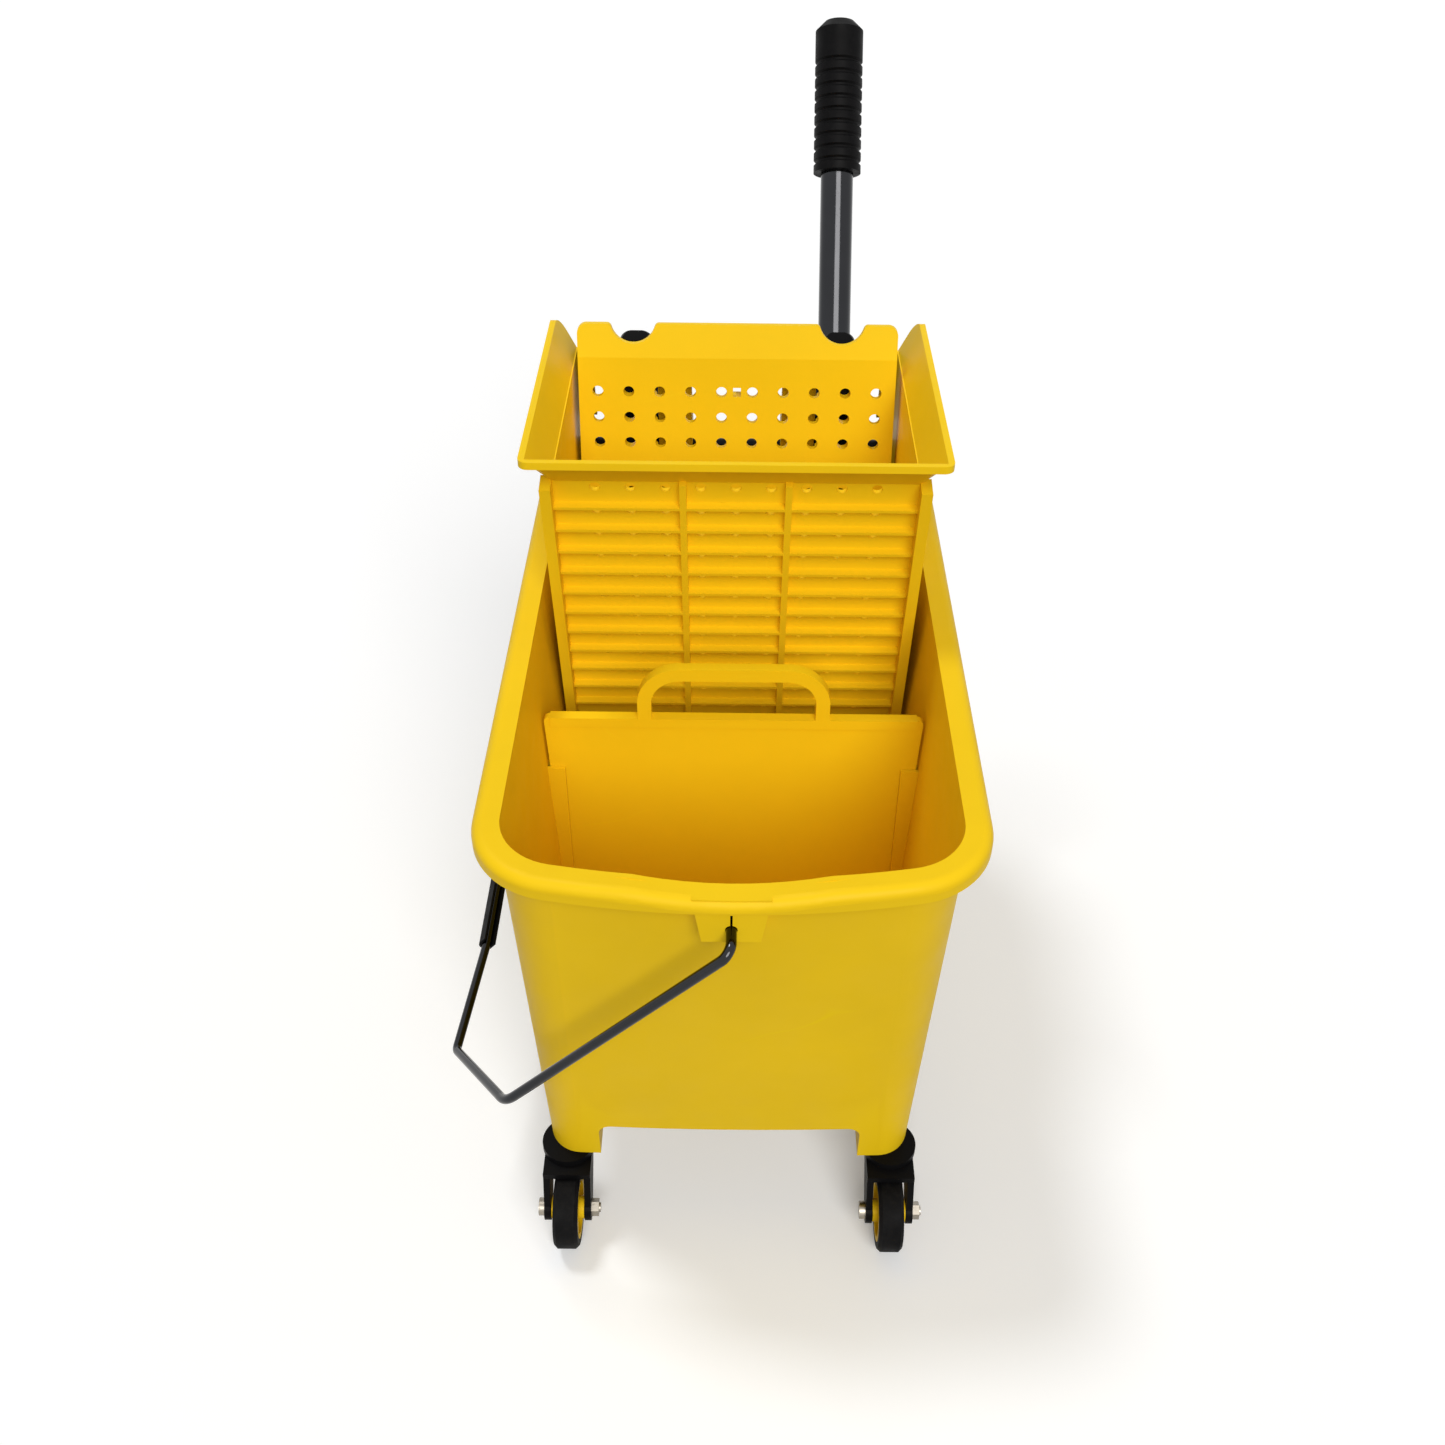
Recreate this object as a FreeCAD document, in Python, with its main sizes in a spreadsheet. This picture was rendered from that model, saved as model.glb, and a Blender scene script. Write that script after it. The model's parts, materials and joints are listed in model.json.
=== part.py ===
"""A mop bucket on four swivel casters, with a lift-off lever-press wringer.

All sizes are in millimetres.  The floor is z = 0, +Z is up, the pouring end of
the tub faces -Y, the wringer stands at the +Y end, and x = 0 is the tub's
middle plane.  The driving sizes are in the sheet "dims", and the pieces are
bound to it.
"""
import math
import os
import re

import FreeCAD
import Part
import Sketcher

Vector = FreeCAD.Vector
doc = FreeCAD.newDocument("mop_bucket_with_wringer")
dims = doc.addObject("Spreadsheet::Sheet", "dims")

SIZES = {
    "past": 1.0,                 # how far a cutting tool runs past a face
    # Tub: the rim, then the drafted walls below it
    "rim_length": 450.0,
    "rim_width": 270.0,
    "rim_height": 330.0,
    "rim_corner": 50.0,
    "rim_bow": 500.0,            # radius of the bowed ends
    "rim_overhang": 12.5,        # rim's outer edge beyond the wall
    "rim_drop": 11.0,            # height of the turned-down edge
    "rim_skin": 3.0,
    "rim_round": 6.0,
    "wall": 3.0,
    "wall_corner": 38.0,
    "side_draft": 2.37,          # degrees
    "end_draft": 5.7,            # degrees
    "base_corner": 20.0,
    "base_bow": 3000.0,
    "foot_base": 60.0,           # underside of the feet
    "foot_height": 31.5,
    "foot_inside": 20.8,         # foot's inner faces from the caster's axis
    "arch_round": 8.0,
    "floor_rise": 3.5,           # tub floor's top above the skirt's lower edge
    "spout_radius": 305.0,
    "spout_depth": 4.0,
    "spout_ease": 150.0,         # rounding where it meets the rim's top
    "spout_pad": 60.0,
    # Ears under the two ends of the rim, which hold the bail
    "ear_drop": 25.0,            # bail's axis below the rim
    "ear_below": 8.6,            # ear's lower edge below that axis
    "ear_top_half": 20.0,
    "ear_foot_half": 15.0,
    "ear_plate": 4.0,
    "ear_root": 4.5,             # how far the ear runs into the wall
    "ear_pocket": 5.7,
    "ear_pocket_half": 10.5,
    "ear_hole": 6.4,
    "ear_slot": 1.2,             # slot that the wire springs through
    "ear_slot_height": 10.5,
    # Divider and its guide ribs
    "divider_y": -24.0,
    "divider_skin": 4.0,
    "divider_height": 185.0,
    "divider_gap": 1.5,
    "divider_round": 4.0,
    "seat_gap": 0.3,
    "guide_height": 145.0,
    "guide_reach": 5.0,
    "guide_skin": 2.5,
    "floor_rib": 4.0,            # ribs across the floor, either side of the divider
    "arch_half": 58.5,
    "arch_height": 38.0,
    "arch_band": 8.5,
    "arch_depth": 7.0,
    "arch_bend": 26.0,
    # Bail
    "wire": 5.6,
    "bail_hang": 48.75,          # degrees below level, at rest
    "bail_stand_off": 16.0,      # leg beyond the ear plate
    "bail_leg": 190.4,
    "bail_shoulder": 257.4,
    "bail_bar": 243.4,
    "bail_leg_in": 16.0,
    "bail_shoulder_in": 90.5,
    "bail_bend": 7.0,
    "bail_wide_bend": 21.0,
    "bail_head": 9.2,
    "bail_head_thick": 2.0,
    "bail_end_in": 4.5,          # wire's end inside the ear plate
    "grip_half": 70.0,
    "grip_thick": 8.8,
    "grip_round": 3.6,
    "grip_inside": 3.8,
    "grip_outside": 5.0,
    "grip_slot": 6.0,
    # Wringer basket
    "shaft_in": 36.0,            # shaft from the rim's rear edge
    "shaft_rise": 15.0,          # shaft above the rim
    "basket_clear": 13.5,        # basket's inside from the tub's, at the rim
    "basket_wall": 2.5,
    "fold_rise": 90.0,           # foot of the flared lip above the rim
    "press_depth": 170.0,        # front wall to shaft, at the fold
    "front_lean": 11.2,          # degrees
    "front_length": 211.0,
    "front_skin": 3.0,
    "strip_width": 6.5,
    "strip_proud": 10.5,
    "rib_proud": 5.5,
    "rib_skin": 1.9,
    "bay_post": 4.0,             # upright ribs between the three bays
    "rib_first": 18.2,
    "rib_pitch": 17.6,
    "hole_pitch": 20.4,
    "hole": 6.4,
    "hole_below_rib": 5.0,
    "lip_rise": 22.7,
    "lip_front": 21.0,
    "lip_side": 12.0,
    "lip_skin": 2.6,
    "lip_bead": 4.5,
    "lip_bead_proud": 1.2,
    "lip_corner": 6.0,
    "wing_round": 11.0,
    "wing_back": 1.0,            # wings' end behind the shaft
    "floor_skin": 3.0,
    "toe_run": 9.0,              # sloped front of the basket's floor
    "toe_drop": 4.8,
    "heel_run": 9.1,             # floor's rear end behind the plate's hinge
    "heel_drop": 18.2,
    "drain_start": 18.0,
    "drain_half": 6.4,
    "tail_fore": 5.0,            # side walls' lower rear corner ahead of the shaft
    "tail_back": 18.0,           # side walls' rear end behind the shaft
    "tail_rise": 18.0,
    "flange_in": 9.0,            # flanges along the side walls' rear edges
    "flange_skin": 3.0,
    "shoulder_clear": 4.0,       # shoulders' ends inside the rim's edge
    "shoulder_skin": 4.0,
    "shoulder_length": 50.0,
    "fin_far": 32.0,             # fins ahead of the shaft
    "fin_near": 16.0,
    "beam_height": 16.0,
    "beam_drop": 30.0,
    "beam_depth": 14.0,
    "post_in": 30.0,
    "post_out": 52.3,
    "post_skin": 3.0,
    "post_front": 19.0,          # post's face ahead of the shaft
    "post_rise": 57.0,
    "post_top_depth": 6.0,
    "post_back": 15.0,
    "post_flat_half": 12.0,
    "bush": 20.0,
    "bush_collar": 26.0,
    "bush_collar_thick": 2.0,
    "bush_pad": 6.0,
    "run_gap": 0.06,             # running fit, on the radius
    # Press plate, hinged on a rod at its foot
    "hinge_ahead": 58.0,         # hinge ahead of the shaft
    "hinge_below": 115.0,        # hinge below the shaft
    "hinge_rod": 6.0,
    "hinge_roll": 13.0,
    "hinge_head": 9.0,
    "hinge_head_thick": 1.9,
    "plate_lean": 6.6,           # degrees
    "plate_skin": 4.0,
    "plate_fold": 202.0,
    "plate_top": 222.6,
    "plate_top_back": 4.2,
    "plate_top_clear": 3.9,      # plate's upper edge from the basket's side
    "plate_gap": 1.5,
    "plate_round": 6.0,
    "plate_hole": 7.0,
    "plate_hole_across": 20.0,
    "plate_hole_up": 17.4,
    "plate_hole_top": 179.7,
    "key_width": 5.0,
    "key_height": 6.0,
    "notch_radius": 14.5,
    "notch_depth": 12.0,
    "notch_round": 3.0,
    "track_skin": 3.0,
    "track_low": 60.0,
    "back_rib": 6.0,
    "back_rib_skin": 2.5,
    # Shaft, arms and lever
    "shaft": 16.0,
    "shaft_tail": 2.0,           # shaft's ends beyond the bushes
    "clip": 20.0,
    "clip_skin": 1.4,
    "clip_mouth": 6.7,
    "groove_core": 14.6,
    "lever_lean": 33.0,          # degrees behind upright, at rest
    "lever_travel": 75.0,        # degrees
    "press_ratio": 0.3,          # plate's angle over the lever's
    "cam_gap": 0.4,
    "arm_x": 66.0,
    "arm_width": 22.0,
    "arm_boss": 34.0,
    "arm_web": 8.0,
    "gusset_front": 13.6,
    "gusset_back": 51.0,
    "gusset_top": 62.0,
    "cam_shoe": 9.0,
    "arm_tip_round": 8.0,
    "arm_pin": 5.0,
    "socket_x": 66.5,
    "socket_wall": 2.6,
    "socket_low": 20.0,
    "socket_top": 69.0,
    "lever_tube": 22.0,
    "lever_wall": 1.5,
    "lever_end": 278.0,
    "lever_fit": 0.1,
    "lever_screw": 5.0,
    "lever_screw_up": 46.0,
    "screw_tail": 4.0,           # screw's end inside the tube's wall
    "screw_head": 9.0,
    "screw_head_thick": 3.0,
    "grip_length": 98.0,
    "grip_width": 32.0,
    "grip_cap": 6.0,
    "grip_ring_first": 4.8,
    "grip_ring_run": 78.0,
    "grip_ring_pitch": 8.0,
    "grip_ring_depth": 1.2,
    # Casters
    "caster_in_x": 11.281,       # swivel axes inside the wall's foot
    "caster_in_y": 10.648,
    "caster_trail": 25.5,
    "wheel_radius": 25.0,
    "tread": 15.2,
    "tyre_depth": 6.0,
    "tyre_edge": 2.0,
    "hub_half": 10.2,
    "hub_boss": 14.0,
    "hub_web": 5.0,
    "hub_rim": 3.0,
    "axle": 6.0,
    "axle_head": 3.8,
    "axle_hex": 11.0,
    "axle_nut": 4.6,
    "axle_tail": 1.0,            # axle's end beyond the nut
    "fork_half": 14.6,
    "fork_leg": 4.0,
    "fork_crown": 4.4,
    "fork_boss": 16.0,
    "crown_end": 3.0,            # crown stops short of the axle by this
    "fork_front": 4.0,           # legs' other edge beyond the swivel axis
    "fork_toe_half": 7.7,
    "fork_toe_drop": 1.6,
    "cup": 33.0,
    "cup_thick": 4.7,
    "swivel_gap": 0.3,
    "stem": 9.0,
    "stem_length": 22.0,
    "stem_room": 1.0,
    "king_pin": 8.0,
    "king_head": 13.0,
    "king_head_thick": 2.7,
}

# Sizes that follow from those above
FOLLOW = {
    "shaft_y": "rim_length / 2 - shaft_in",
    "basket_half": "rim_width / 2 - rim_overhang - wall - basket_clear",
    "plate_top_half": "basket_half - plate_top_clear",
    "shoulder_out": "rim_width / 2 - shoulder_clear",
    "shaft_half": "basket_half + bush_pad + shaft_tail",
    "draft_height": "rim_height - rim_drop - foot_base",
    "caster_x": "rim_width / 2 - rim_overhang - draft_height * tan(side_draft) - caster_in_x",
    "caster_y": "rim_length / 2 - rim_overhang - draft_height * tan(end_draft) - caster_in_y",
}


def fill_sheet():
    for row, (name, value) in enumerate(SIZES.items(), start=1):
        dims.set(f"A{row}", name)
        dims.set(f"B{row}", str(value))
        dims.setAlias(f"B{row}", name)
    doc.recompute()


def size(text):
    """The value of an expression over the sheet's sizes."""
    return float(dims.evalExpression(bound(text)))


# --- Expressions over the sheet, and the pieces bound to them -------------------

FUNCTIONS = {"sin", "cos", "tan", "sqrt"}


def bound(text):
    """Turn "rim_width / 2" into "dims.rim_width / 2", and spell out what follows."""
    def name(found):
        word = found.group()
        if word in FUNCTIONS:
            return word
        return f"({bound(FOLLOW[word])})" if word in FOLLOW else "dims." + word
    return re.sub(r"[a-z][a-z_]+", name, str(text))


def bind(piece, **values):
    """Bind properties of a piece, such as Length, to expressions."""
    for prop, text in values.items():
        piece.setExpression(prop.replace("__", "."), bound(text))
    return piece


def move(piece, x=0, y=0, z=0, turn=None, axis=None):
    """Bind a piece's place, and its turn in degrees about an axis."""
    if axis is not None:
        piece.Placement = FreeCAD.Placement(Vector(), FreeCAD.Rotation(axis, 1))
        bind(piece, Placement__Rotation__Angle=turn)
    for letter, text in zip("xyz", (x, y, z)):
        piece.setExpression("Placement.Base." + letter, bound(text))
    return piece


def box(name, x, y, z):
    """A box from three (low, high) pairs of expressions."""
    piece = doc.addObject("Part::Box", name)
    for letter, prop, (low, high) in zip("xyz", ("Length", "Width", "Height"), (x, y, z)):
        piece.setExpression(prop, bound(f"({high}) - ({low})"))
        piece.setExpression("Placement.Base." + letter, bound(low))
    return piece


TURNS = {
    "x": FreeCAD.Rotation(Vector(0, 1, 0), 90),
    "y": FreeCAD.Rotation(Vector(1, 0, 0), -90),
    "z": FreeCAD.Rotation(),
}


def along(piece, letter, span, u, v):
    """Lay a round piece along an axis, from span[0], at (u, v) on the other two axes."""
    piece.Placement = FreeCAD.Placement(Vector(), TURNS[letter])
    others = [other for other in "xyz" if other != letter]
    for other, text in zip(others + [letter], (u, v, span[0])):
        piece.setExpression("Placement.Base." + other, bound(text))
    return bind(piece, Height=f"({span[1]}) - ({span[0]})")


def rod(name, letter, diameter, span, u=0, v=0):
    piece = doc.addObject("Part::Cylinder", name)
    return along(bind(piece, Radius=f"({diameter}) / 2"), letter, span, u, v)


def hexagon(name, letter, across_corners, span, u=0, v=0):
    piece = doc.addObject("Part::Prism", name)
    piece.Polygon = 6
    return along(bind(piece, Circumradius=f"({across_corners}) / 2"), letter, span, u, v)


PLANES = {  # plane: sketch's turn, and the direction that it is extruded
    "xy": (FreeCAD.Rotation(), Vector(0, 0, 1), "z"),
    "xz": (FreeCAD.Rotation(Vector(1, 0, 0), 90), Vector(0, 1, 0), "y"),
    "yz": (FreeCAD.Rotation(Vector(1, 1, 1), 120), Vector(1, 0, 0), "x"),
}


SKETCH_REACH = 100           # where a sketch's corners are put before their constraints


def outline(name, plane, points, offset):
    """A closed sketch of straight lines whose corners are bound to the sheet."""
    sketch = doc.addObject("Sketcher::SketchObject", name)
    facing, _, letter = PLANES[plane]
    sketch.Placement = FreeCAD.Placement(Vector(), facing)
    sketch.setExpression("Placement.Base." + letter, bound(offset))
    count = len(points)
    turns = [2 * math.pi * i / count for i in range(count)]
    start = [Vector(math.cos(turn), math.sin(turn), 0) * SKETCH_REACH for turn in turns]
    for i in range(count):
        sketch.addGeometry(Part.LineSegment(start[i], start[(i + 1) % count]), False)
    for i in range(count):
        sketch.addConstraint(Sketcher.Constraint("Coincident", i, 2, (i + 1) % count, 1))
    for i, (across, up) in enumerate(points):
        for kind, text in (("DistanceX", across), ("DistanceY", up)):
            value = start[i].x if kind == "DistanceX" else start[i].y
            number = sketch.addConstraint(Sketcher.Constraint(kind, i, 1, value))
            sketch.setExpression(f"Constraints[{number}]", bound(text))
    return sketch


def prism(name, plane, points, span):
    """Extrude an outline along the third axis, over a (low, high) pair."""
    sketch = outline(name + "_outline", plane, points, span[0])
    piece = doc.addObject("Part::Extrusion", name)
    piece.Base = sketch
    piece.DirMode = "Custom"
    piece.Dir = PLANES[plane][1]
    piece.Solid = True
    return bind(piece, LengthFwd=f"({span[1]}) - ({span[0]})")


def turned(name, letter, points):
    """Revolve an outline of (along the axis, radius) points about an axis."""
    plane, swap = {"x": ("xy", False), "z": ("xz", True)}[letter]
    corners = [(r, a) if swap else (a, r) for a, r in points]
    piece = doc.addObject("Part::Revolution", name)
    piece.Source = outline(name + "_outline", plane, corners, 0)
    piece.Axis = Vector(1, 0, 0) if letter == "x" else Vector(0, 0, 1)
    piece.Angle = 360
    piece.Solid = True
    return piece


def fuse(name, pieces):
    result = doc.addObject("Part::MultiFuse", name)
    result.Shapes = list(pieces)
    result.Refine = True
    return result


def cut(name, base, tools):
    tool = tools[0] if len(tools) == 1 else fuse(name + "_tools", tools)
    result = doc.addObject("Part::Cut", name)
    result.Base = base
    result.Tool = tool
    result.Refine = True
    return result


def common(name, pieces):
    result = doc.addObject("Part::MultiCommon", name)
    result.Shapes = list(pieces)
    return result


def made(name, shape):
    """A piece whose shape is worked out here from the sheet's numbers."""
    piece = doc.addObject("Part::Feature", name)
    piece.Shape = shape
    return piece


def rounded(name, base, radius, chosen):
    """Fillet the edges that the test "chosen" picks, once the base is built."""
    doc.recompute()
    numbers = [i for i, edge in enumerate(base.Shape.Edges, start=1) if chosen(edge)]
    result = doc.addObject("Part::Fillet", name)
    result.Base = base
    result.Edges = [(number, radius, radius) for number in numbers]
    return result


def runs_along(edge, letter):
    """Whether a straight edge lies along this axis."""
    if len(edge.Vertexes) != 2 or edge.Curve.TypeId != "Part::GeomLine":
        return False
    step = edge.Vertexes[1].Point - edge.Vertexes[0].Point
    return abs(abs(getattr(step.normalize(), letter)) - 1) < 1e-6


def middle(edge):
    return edge.valueAt((edge.FirstParameter + edge.LastParameter) / 2)


NODES = []


def node(label, piece):
    """Name a finished piece: its label is its file's name."""
    piece.Label = label
    NODES.append(piece)
    return piece


def loft(name, sections):
    piece = doc.addObject("Part::Loft", name)
    piece.Sections = sections
    piece.Solid = True
    piece.Ruled = True
    return piece


def compound(name, pieces):
    result = doc.addObject("Part::Compound", name)
    result.Links = list(pieces)
    return result


def discs(name, plane, centres, diameter, span):
    """One sketch of equal circles at bound centres, extruded over a span."""
    sketch = doc.addObject("Sketcher::SketchObject", name + "_circles")
    turn, normal, letter = PLANES[plane]
    sketch.Placement = FreeCAD.Placement(Vector(), turn)
    sketch.setExpression("Placement.Base." + letter, bound(span[0]))
    for i, (across, up) in enumerate(centres):
        start = Vector(1 + 9 * (i % 12), 1 + 9 * (i // 12), 0)
        sketch.addGeometry(Part.Circle(start, Vector(0, 0, 1), 2), False)
        for kind, value, text in (("DistanceX", start.x, across), ("DistanceY", start.y, up)):
            number = sketch.addConstraint(Sketcher.Constraint(kind, i, 3, value))
            sketch.setExpression(f"Constraints[{number}]", bound(text))
        if i:
            sketch.addConstraint(Sketcher.Constraint("Equal", 0, i))
    number = sketch.addConstraint(Sketcher.Constraint("Diameter", 0, 4))
    sketch.setExpression(f"Constraints[{number}]", bound(diameter))
    piece = doc.addObject("Part::Extrusion", name)
    piece.Base = sketch
    piece.DirMode = "Custom"
    piece.Dir = normal
    piece.Solid = True
    return bind(piece, LengthFwd=f"({span[1]}) - ({span[0]})")


def both_ways(sign, low, high):
    """The (low, high) pair of expressions, or its mirror image about zero."""
    return (low, high) if sign > 0 else (f"-({high})", f"-({low})")


fill_sheet()


# --- Tub ------------------------------------------------------------------------

SKIRT = "foot_base + foot_height"
FLOOR = f"{SKIRT} + floor_rise"
LIP_FOOT = "rim_height - rim_drop"
EAR_FACE = "rim_length / 2 - rim_skin"
BAIL_Z = "rim_height - ear_drop"
FEET = [(1, 1), (-1, 1), (-1, -1), (1, -1)]


def wall_half(height):
    """The tub wall's outer half width at a height."""
    return f"(rim_width / 2 - rim_overhang - ({LIP_FOOT} - ({height})) * tan(side_draft))"


def wall_end(height):
    """The tub wall's outer half length at a height."""
    return f"(rim_length / 2 - rim_overhang - ({LIP_FOOT} - ({height})) * tan(end_draft))"


def ring(name, height, half_width, half_length, corner, bow):
    """A horizontal outline: straight sides, bowed ends and round corners."""
    sketch = doc.addObject("Sketcher::SketchObject", name)
    sketch.setExpression("Placement.Base.z", bound(height))
    w, l, r, b = size(half_width), size(half_length), size(corner), size(bow)
    rise = math.sqrt((b - r) ** 2 - (w - r) ** 2)
    side = l - b + rise
    turn = math.atan2(rise, w - r)

    def arc(x, y, radius, start, end):
        circle = Part.Circle(Vector(x, y, 0), Vector(0, 0, 1), radius)
        return Part.ArcOfCircle(circle, start, end)

    sketch.addGeometry([
        Part.LineSegment(Vector(w, -side, 0), Vector(w, side, 0)),
        arc(w - r, side, r, 0, turn),
        arc(0, l - b, b, turn, math.pi - turn),
        arc(r - w, side, r, math.pi - turn, math.pi),
        Part.LineSegment(Vector(-w, side, 0), Vector(-w, -side, 0)),
        arc(r - w, -side, r, math.pi, math.pi + turn),
        arc(0, b - l, b, math.pi + turn, 2 * math.pi - turn),
        arc(w - r, -side, r, 2 * math.pi - turn, 2 * math.pi),
    ], False)
    for i in range(8):
        sketch.addConstraint(Sketcher.Constraint("Tangent", i, 2, (i + 1) % 8, 1))
    for i in (3, 5, 7):
        sketch.addConstraint(Sketcher.Constraint("Equal", 1, i))
    sketch.addConstraint(Sketcher.Constraint("Equal", 2, 6))
    rules = [
        (Sketcher.Constraint("DistanceX", 0, 1, w), half_width),
        (Sketcher.Constraint("DistanceX", 4, 1, -w), f"-({half_width})"),
        (Sketcher.Constraint("Radius", 1, r), corner),
        (Sketcher.Constraint("Radius", 2, b), bow),
        (Sketcher.Constraint("DistanceX", 2, 3, 0.0), "0"),
        (Sketcher.Constraint("DistanceY", 2, 3, l - b), f"({half_length}) - ({bow})"),
        (Sketcher.Constraint("DistanceX", 6, 3, 0.0), "0"),
        (Sketcher.Constraint("DistanceY", 6, 3, b - l), f"({bow}) - ({half_length})"),
    ]
    for rule, text in rules:
        number = sketch.addConstraint(rule)
        sketch.setExpression(f"Constraints[{number}]", bound(text))
    return sketch


def rim_block(name, inset, low, high):
    """The rim's outline, set in by a distance, between two heights."""
    half_width = f"rim_width / 2 - {inset}"
    half_length = f"rim_length / 2 - {inset}"
    sketch = ring(name + "_outline", low, half_width, half_length,
                  f"rim_corner - {inset}", f"rim_bow - {inset}")
    piece = doc.addObject("Part::Extrusion", name)
    piece.Base = sketch
    piece.DirMode = "Custom"
    piece.Dir = Vector(0, 0, 1)
    piece.Solid = True
    return bind(piece, LengthFwd=f"({high}) - ({low})")


def wall_loft(name, inset):
    """The drafted body of the tub from the feet's underside to the rim's top."""
    sections = []
    for label, height, corner, bow in (("foot", "foot_base", "base_corner", "base_bow"),
                                       ("head", "rim_height", "wall_corner", "rim_bow")):
        sections.append(ring(f"{name}_{label}", height,
                             f"{wall_half(height)} - {inset}", f"{wall_end(height)} - {inset}",
                             f"{corner} - {inset}", f"{bow} - {inset}"))
    return loft(name, sections)


def foot_span(sign, letter):
    """A foot's (low, high) pair across x or y, reaching past the tub's wall."""
    return both_ways(sign, f"caster_{letter} - foot_inside", f"caster_{letter} + rim_corner")


def ear(name, sign):
    """A block under the rim's end, tapered towards its lower edge."""
    points = [
        ("-ear_top_half", "rim_height - rim_skin"),
        ("-ear_foot_half", f"{BAIL_Z} - ear_below"),
        ("ear_foot_half", f"{BAIL_Z} - ear_below"),
        ("ear_top_half", "rim_height - rim_skin"),
    ]
    depth = both_ways(sign, f"{EAR_FACE} - ear_plate - ear_pocket - ear_root", EAR_FACE)
    return prism(name, "xz", points, depth)


def ear_cuts(name, sign):
    """The pocket for the wire's head, open below, and the hole for the wire."""
    pocket = box(name + "_pocket", ("-ear_pocket_half", "ear_pocket_half"),
                 both_ways(sign, f"{EAR_FACE} - ear_plate - ear_pocket", f"{EAR_FACE} - ear_plate"),
                 (f"{BAIL_Z} - ear_below - past", f"{LIP_FOOT} - ear_plate"))
    plate = both_ways(sign, f"{EAR_FACE} - ear_plate - past", f"{EAR_FACE} + past")
    hole = rod(name + "_hole", "y", "ear_hole", plate, 0, BAIL_Z)
    slot = box(name + "_slot", ("-ear_slot / 2", "ear_slot / 2"), plate,
               (BAIL_Z, f"{BAIL_Z} + ear_slot_height"))
    return [pocket, hole, slot]


def arch(name, letter, x, y):
    """The space between two feet, under the raised skirt, round-cornered along an axis."""
    block = box(name + "_block", x, y, ("foot_base - past", SKIRT))
    top = size(SKIRT)
    return rounded(name, block, size("arch_round"),
                   lambda edge: runs_along(edge, letter) and abs(middle(edge).z - top) < 0.01)


def tub():
    spout = rod("spout_cut", "y", "spout_radius * 2", ("-rim_length", "0"), 0,
                "rim_height - spout_depth + spout_radius")
    rim = cut("rim_with_spout", rim_block("rim_solid", "0", LIP_FOOT, "rim_height"), [spout])
    sides, ends = size("spout_pad"), size("rim_length / 2 - rim_corner")
    rim = rounded("rim_eased", rim, size("spout_ease"),
                  lambda edge: runs_along(edge, "y") and abs(middle(edge).x) < sides)
    lowest = size("rim_height - spout_depth") - 0.01
    rim = rounded("rim_rounded", rim, size("rim_round"), lambda edge: edge.BoundBox.ZMin > lowest
                  and (abs(middle(edge).x) > sides or abs(middle(edge).y) > ends))
    body = fuse("tub_solid", [rim, wall_loft("wall_outside", "0"),
                              ear("ear_front", -1), ear("ear_rear", 1)])

    gutter = rim_block("gutter_fill", "rim_skin", f"{LIP_FOOT} - past", "rim_height - rim_skin")
    gutter_top = size("rim_height - rim_skin")
    gutter = rounded("gutter_rounded", gutter, size("rim_round - rim_skin"),
                     lambda edge: abs(edge.BoundBox.ZMin - gutter_top) < 0.01)
    pads = [box("spout_pad", ("-spout_pad", "spout_pad"), ("-rim_length", "0"),
                ("0", "rim_height")),
            wall_loft("gutter_core", "0"), ear("ear_core", 1)]
    gutter = cut("gutter", gutter, pads)

    wide = ("-rim_width", "rim_width")
    long = ("-rim_length", "rim_length")
    room = common("cavity", [wall_loft("wall_inside", "wall"),
                             box("above_floor", wide, long, (FLOOR, "rim_height + wall"))])
    under = common("hollow_base", [wall_loft("skirt_inside", "wall"),
                                   box("below_floor", wide, long, ("0", f"{FLOOR} - wall"))])
    feet = [box(f"foot_{i}", foot_span(x, "x"), foot_span(y, "y"), ("0", "rim_height"))
            for i, (x, y) in enumerate(FEET)]
    under = cut("under_floor", under, feet)
    gap_x = ("-(caster_x - foot_inside)", "caster_x - foot_inside")
    gap_y = ("-(caster_y - foot_inside)", "caster_y - foot_inside")
    arches = [arch("end_arch", "y", gap_x, long), arch("side_arch", "x", wide, gap_y)]
    stem_top = "foot_base + stem_length + stem_room"
    bores = [rod(f"stem_bore_{i}", "z", "stem + run_gap * 2", ("0", stem_top),
                 f"{x} * caster_x", f"{y} * caster_y") for i, (x, y) in enumerate(FEET)]
    body = cut("tub_hollow", body, [gutter, spout, room, under] + arches + bores
               + ear_cuts("ear_front", -1) + ear_cuts("ear_rear", 1))

    guides = []
    for i, y in enumerate((-1, 1)):
        near = f"divider_y + {y} * (divider_skin / 2 + seat_gap)"
        far = f"divider_y + {y} * (divider_skin / 2 + seat_gap + guide_skin)"
        deep = (near, far) if y > 0 else (far, near)
        guides.append(box(f"floor_rib_{i}", wide, deep, (f"{FLOOR} - wall / 2", f"{FLOOR} + floor_rib")))
        for j, x in enumerate((-1, 1)):
            guides.append(box(f"guide_{i}_{j}",
                              both_ways(x, f"{wall_half(FLOOR)} - wall - guide_reach", "rim_width / 2"),
                              deep, (f"{FLOOR} - wall / 2", f"{FLOOR} + guide_height")))
    guides = common("guides", [fuse("guide_blocks", guides), wall_loft("guide_limit", "wall / 2")])
    return fuse("tub_shape", [body, guides])


node("bucket_tub", tub())


# --- Casters --------------------------------------------------------------------

CROWN_TOP = "foot_base - cup_thick - swivel_gap"
CROWN_FOOT = f"{CROWN_TOP} - fork_crown"


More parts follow.
